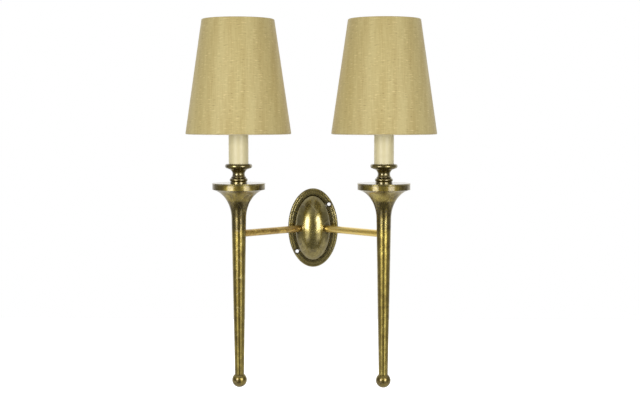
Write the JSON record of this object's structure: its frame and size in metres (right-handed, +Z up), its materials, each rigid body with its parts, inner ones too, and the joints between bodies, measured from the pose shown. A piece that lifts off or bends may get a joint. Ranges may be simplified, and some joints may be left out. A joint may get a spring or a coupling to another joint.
{
  "type": "wall sconce",
  "caption": "Wall light: oval domed backplate, two arms, tapering trumpet stems with candle tubes, lamps and tapered fabric shades.",
  "frame": {"origin": "on the wall, at the centre of the oval backplate and of its two screw holes", "axes": "+Z up along the candles, +Y into the wall, +X to the right of someone facing the wall"},
  "size_m": [0.335, 0.1655, 0.4932],
  "materials": {
    "antique_brass": "cast and turned, patinated, worn bright on the high spots",
    "plain_brass": "turned, unfinished",
    "cap_nickel": "drawn, nickel bright",
    "zinc_steel": "pressed, bright zinc",
    "sprung_wire": "drawn spring wire, nickelled",
    "shade_wire": "epoxy coated wire, off-white",
    "terminal_plastic": "moulded polyamide, natural",
    "holder_phenolic": "moulded, cream",
    "candle_sleeve": "moulded sleeve, ivory, satin",
    "lamp_glass": "blown, clear",
    "lamp_mount": "glass mount with filaments",
    "shade_liner": "laminated sheet, off-white",
    "slub_silk": "woven dupion with horizontal slubs",
    "wire_insulation": "extruded insulation"
  },
  "bodies": {
    "root": {"backplate": "antique_brass", "earth_screw": "plain_brass", "earth_washer": "plain_brass", "left_arm": "antique_brass", "left_arm_nut": "plain_brass", "left_arm_washer": "plain_brass", "left_candle_cup": "antique_brass", "left_drip_plate": "antique_brass", "left_finial": "antique_brass", "left_holder_body": "holder_phenolic", "left_holder_bracket": "zinc_steel", "left_holder_contact": "plain_brass", "left_holder_shell": "plain_brass", "left_nipple": "plain_brass", "left_nipple_nut": "plain_brass", "left_stem": "antique_brass", "left_wires": "wire_insulation", "right_arm": "antique_brass", "right_arm_nut": "plain_brass", "right_arm_washer": "plain_brass", "right_candle_cup": "antique_brass", "right_drip_plate": "antique_brass", "right_finial": "antique_brass", "right_holder_body": "holder_phenolic", "right_holder_bracket": "zinc_steel", "right_holder_contact": "plain_brass", "right_holder_shell": "plain_brass", "right_nipple": "plain_brass", "right_nipple_nut": "plain_brass", "right_stem": "antique_brass", "right_wires": "wire_insulation", "terminal_barrels": "plain_brass", "terminal_block": "terminal_plastic", "terminal_screws": "zinc_steel"},
    "left_bulb": {"left_bulb_cap": "cap_nickel", "left_bulb_glass": "lamp_glass", "left_bulb_filament": "lamp_mount"},
    "left_clip": {"left_bulb_clip": "sprung_wire"},
    "left_shade": {"left_tilt_pin": "sprung_wire", "left_shade_spider": "shade_wire", "left_shade_rings": "shade_wire", "left_shade_lining": "shade_liner", "left_shade_cover": "slub_silk"},
    "left_candle": {"left_candle_tube": "candle_sleeve"},
    "right_bulb": {"right_bulb_cap": "cap_nickel", "right_bulb_glass": "lamp_glass", "right_bulb_filament": "lamp_mount"},
    "right_clip": {"right_bulb_clip": "sprung_wire"},
    "right_shade": {"right_tilt_pin": "sprung_wire", "right_shade_spider": "shade_wire", "right_shade_rings": "shade_wire", "right_shade_lining": "shade_liner", "right_shade_cover": "slub_silk"},
    "right_candle": {"right_candle_tube": "candle_sleeve"}
  },
  "joints": [
    {"name": "left_bulb_turn", "type": "hinge", "parent": "root", "child": "left_bulb", "pos_m": [-0.097, -0.095, 0.16], "axis": [0, 0, 1], "range_deg": [0, 990]},
    {"name": "left_clip_lift", "type": "slide", "parent": "left_bulb", "child": "left_clip", "axis": [0, 0, 1], "range_m": [0, 0.13]},
    {"name": "left_shade_tilt", "type": "hinge", "parent": "left_clip", "child": "left_shade", "pos_m": [-0.097, -0.095, 0.2625], "axis": [-0.7144, -0.6997, 0], "range_deg": [-8, 8]},
    {"name": "left_candle_lift", "type": "slide", "parent": "root", "child": "left_candle", "axis": [0, 0, 1], "range_m": [0, 0.009]},
    {"name": "right_bulb_turn", "type": "hinge", "parent": "root", "child": "right_bulb", "pos_m": [0.097, -0.095, 0.16], "axis": [0, 0, 1], "range_deg": [0, 990]},
    {"name": "right_clip_lift", "type": "slide", "parent": "right_bulb", "child": "right_clip", "axis": [0, 0, 1], "range_m": [0, 0.13]},
    {"name": "right_shade_tilt", "type": "hinge", "parent": "right_clip", "child": "right_shade", "pos_m": [0.097, -0.095, 0.2625], "axis": [0.7144, -0.6997, 0], "range_deg": [-8, 8]},
    {"name": "right_candle_lift", "type": "slide", "parent": "root", "child": "right_candle", "axis": [0, 0, 1], "range_m": [0, 0.009]}
  ]
}
